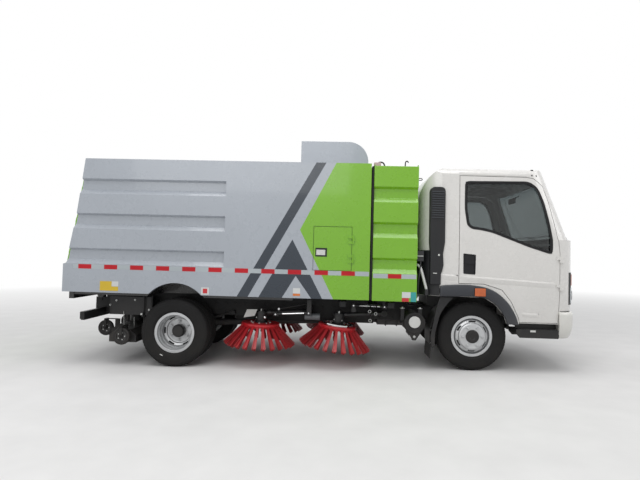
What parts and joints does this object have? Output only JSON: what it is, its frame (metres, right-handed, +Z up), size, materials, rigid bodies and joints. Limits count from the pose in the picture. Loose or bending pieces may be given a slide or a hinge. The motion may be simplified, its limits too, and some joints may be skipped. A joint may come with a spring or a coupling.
{
  "type": "street sweeper truck",
  "caption": "Compact cab-over street sweeper truck with a tilting cab, water tank, tipping hopper, tailgate, side brooms and a suction nozzle.",
  "frame": {"origin": "on the road, below the middle of the truck's bounding box", "axes": "+X towards the cab's front, +Y to the truck's left, +Z up; the truck leans nose down by its empty-load rake"},
  "size_m": [5.8596, 2.0908, 2.7041],
  "materials": {
    "chassis_black": "satin",
    "engine_iron": "matt",
    "black_plastic": "matt",
    "flare_grey": "matt",
    "bumper_beige": "gloss",
    "cab_white": "gloss",
    "glass": "clear",
    "dash_grey": "matt",
    "seat_cloth": "matt",
    "tank_green": "gloss",
    "body_grey": "gloss",
    "arm_steel": "satin",
    "broom_red": "satin",
    "tyre": "matt",
    "caster_rubber": "matt",
    "rim_silver": "satin"
  },
  "bodies": {
    "chassis": {"chassis_frame": "chassis_black", "front_axle": "chassis_black", "rear_axle": "chassis_black", "engine": "engine_iron", "fuel_tank": "chassis_black", "air_tank": "chassis_black", "bumper": "bumper_beige", "cab_step_left": "black_plastic", "cab_step_right": "black_plastic", "front_mudguard_left": "black_plastic", "front_mudguard_right": "black_plastic", "water_tank": "tank_green", "sweeper_engine": "engine_iron"},
    "cab": {"cab_shell": "cab_white", "windscreen": "glass", "rear_window": "glass", "arch_flare_left": "flare_grey", "arch_flare_right": "flare_grey", "air_intake": "black_plastic", "dashboard": "dash_grey", "bench": "seat_cloth"},
    "hopper": {"hopper": "body_grey", "roof_duct": "body_grey"},
    "tailgate": {"tailgate": "tank_green"},
    "roof_hatch": {"roof_hatch": "body_grey"},
    "nozzle": {"nozzle": "chassis_black"},
    "knuckle_left": {"knuckle_left": "chassis_black"},
    "front_wheel_left": {"front_tyre_left": "tyre", "front_rim_left": "rim_silver"},
    "rear_wheels_left": {"rear_tyre_inner_left": "tyre", "rear_tyre_outer_left": "tyre", "rear_rims_left": "rim_silver"},
    "cab_door_left": {"cab_door_left": "cab_white", "door_glass_left": "glass"},
    "access_door_left": {"access_door_left": "body_grey"},
    "knuckle_right": {"knuckle_right": "chassis_black"},
    "front_wheel_right": {"front_tyre_right": "tyre", "front_rim_right": "rim_silver"},
    "rear_wheels_right": {"rear_tyre_inner_right": "tyre", "rear_tyre_outer_right": "tyre", "rear_rims_right": "rim_silver"},
    "cab_door_right": {"cab_door_right": "cab_white", "door_glass_right": "glass"},
    "access_door_right": {"access_door_right": "body_grey"},
    "broom_arm_rear_left": {"broom_arm_rear_left": "arm_steel"},
    "broom_rear_left": {"broom_rear_left": "broom_red"},
    "broom_arm_rear_right": {"broom_arm_rear_right": "arm_steel"},
    "broom_rear_right": {"broom_rear_right": "broom_red"},
    "broom_arm_front_left": {"broom_arm_front_left": "arm_steel"},
    "broom_front_left": {"broom_front_left": "broom_red"},
    "broom_arm_front_right": {"broom_arm_front_right": "arm_steel"},
    "broom_front_right": {"broom_front_right": "broom_red"},
    "caster_front_left": {"caster_front_left": "caster_rubber"},
    "caster_front_right": {"caster_front_right": "caster_rubber"},
    "caster_rear_left": {"caster_rear_left": "caster_rubber"},
    "caster_rear_right": {"caster_rear_right": "caster_rubber"}
  },
  "joints": [
    {"name": "steer_left", "type": "hinge", "parent": "chassis", "child": "knuckle_left", "pos_m": [1.707, 0.655, 0.385], "axis": [0.0161, 0, 0.9999], "range_deg": [-33, 33]},
    {"name": "front_wheel_spin_left", "type": "hinge", "parent": "knuckle_left", "child": "front_wheel_left", "pos_m": [1.707, 0.7525, 0.385], "axis": [0, 1, 0], "continuous": true},
    {"name": "rear_wheels_spin_left", "type": "hinge", "parent": "chassis", "child": "rear_wheels_left", "pos_m": [-1.65343, 0.725, 0.385], "axis": [0, 1, 0], "continuous": true},
    {"name": "cab_door_hinge_left", "type": "hinge", "parent": "cab", "child": "cab_door_left", "pos_m": [2.64536, 0.945, 1.08502], "axis": [-0.0161, 0, -0.9999], "range_deg": [0, 65]},
    {"name": "access_door_hinge_left", "type": "hinge", "parent": "hopper", "child": "access_door_left", "pos_m": [0.36019, 1.031, 1.34175], "axis": [-0.0161, 0, -0.9999], "range_deg": [0, 100]},
    {"name": "steer_right", "type": "hinge", "parent": "chassis", "child": "knuckle_right", "pos_m": [1.707, -0.655, 0.385], "axis": [0.0161, 0, 0.9999], "range_deg": [-33, 33]},
    {"name": "front_wheel_spin_right", "type": "hinge", "parent": "knuckle_right", "child": "front_wheel_right", "pos_m": [1.707, -0.7525, 0.385], "axis": [0, 1, 0], "continuous": true},
    {"name": "rear_wheels_spin_right", "type": "hinge", "parent": "chassis", "child": "rear_wheels_right", "pos_m": [-1.65343, -0.725, 0.385], "axis": [0, 1, 0], "continuous": true},
    {"name": "cab_door_hinge_right", "type": "hinge", "parent": "cab", "child": "cab_door_right", "pos_m": [2.64536, -0.945, 1.08502], "axis": [0.0161, 0, 0.9999], "range_deg": [0, 65]},
    {"name": "access_door_hinge_right", "type": "hinge", "parent": "hopper", "child": "access_door_right", "pos_m": [0.36019, -1.031, 1.34175], "axis": [0.0161, 0, 0.9999], "range_deg": [0, 100]},
    {"name": "cab_tilt", "type": "hinge", "parent": "chassis", "child": "cab", "pos_m": [2.79352, 0, 0.78261], "axis": [0, 1, 0], "range_deg": [0, 40]},
    {"name": "hopper_tip", "type": "hinge", "parent": "chassis", "child": "hopper", "pos_m": [-2.76736, 0, 0.77189], "axis": [0, -1, 0], "range_deg": [0, 42]},
    {"name": "tailgate_hinge", "type": "hinge", "parent": "hopper", "child": "tailgate", "pos_m": [-2.6523, 0, 2.33224], "axis": [0, 1, 0], "range_deg": [0, 75]},
    {"name": "roof_hatch_hinge", "type": "hinge", "parent": "hopper", "child": "roof_hatch", "pos_m": [-0.604, 0, 2.33436], "axis": [0, -1, 0], "range_deg": [0, 95]},
    {"name": "nozzle_lift", "type": "slide", "parent": "chassis", "child": "nozzle", "axis": [-0.0161, 0, -0.9999], "range_m": [0, 0.2]},
    {"name": "broom_lift_rear_left", "type": "hinge", "parent": "chassis", "child": "broom_arm_rear_left", "pos_m": [-0.15476, 0.5, 0.60192], "axis": [0, -1, 0], "range_deg": [0, 10]},
    {"name": "broom_spin_rear_left", "type": "hinge", "parent": "broom_arm_rear_left", "child": "broom_rear_left", "pos_m": [-0.717, 0.62, 0.46693], "axis": [0.0509, 0, 0.9987], "continuous": true},
    {"name": "broom_lift_rear_right", "type": "hinge", "parent": "chassis", "child": "broom_arm_rear_right", "pos_m": [-0.15476, -0.5, 0.60192], "axis": [0, -1, 0], "range_deg": [0, 10]},
    {"name": "broom_spin_rear_right", "type": "hinge", "parent": "broom_arm_rear_right", "child": "broom_rear_right", "pos_m": [-0.717, -0.62, 0.46693], "axis": [0.0509, 0, 0.9987], "continuous": true},
    {"name": "broom_lift_front_left", "type": "hinge", "parent": "chassis", "child": "broom_arm_front_left", "pos_m": [0.75513, 0.5, 0.58731], "axis": [0, -1, 0], "range_deg": [0, 10]},
    {"name": "broom_spin_front_left", "type": "hinge", "parent": "broom_arm_front_left", "child": "broom_front_left", "pos_m": [0.19289, 0.62, 0.45232], "axis": [0.1378, 0, 0.9905], "continuous": true},
    {"name": "broom_lift_front_right", "type": "hinge", "parent": "chassis", "child": "broom_arm_front_right", "pos_m": [0.75513, -0.5, 0.58731], "axis": [0, -1, 0], "range_deg": [0, 10]},
    {"name": "broom_spin_front_right", "type": "hinge", "parent": "broom_arm_front_right", "child": "broom_front_right", "pos_m": [0.19289, -0.62, 0.45232], "axis": [0.1378, 0, 0.9905], "continuous": true},
    {"name": "caster_spin_front_left", "type": "hinge", "parent": "nozzle", "child": "caster_front_left", "pos_m": [-2.27437, 0.892, 0.33192], "axis": [0, 1, 0], "continuous": true},
    {"name": "caster_spin_front_right", "type": "hinge", "parent": "nozzle", "child": "caster_front_right", "pos_m": [-2.27437, -0.892, 0.33192], "axis": [0, 1, 0], "continuous": true},
    {"name": "caster_spin_rear_left", "type": "hinge", "parent": "nozzle", "child": "caster_rear_left", "pos_m": [-2.73431, 0.32, 0.33931], "axis": [0, 1, 0], "continuous": true},
    {"name": "caster_spin_rear_right", "type": "hinge", "parent": "nozzle", "child": "caster_rear_right", "pos_m": [-2.73431, -0.32, 0.33931], "axis": [0, 1, 0], "continuous": true}
  ],
  "couplings": [
    {"joint": "steer_right", "follows": "steer_left", "ratio": 1}
  ]
}
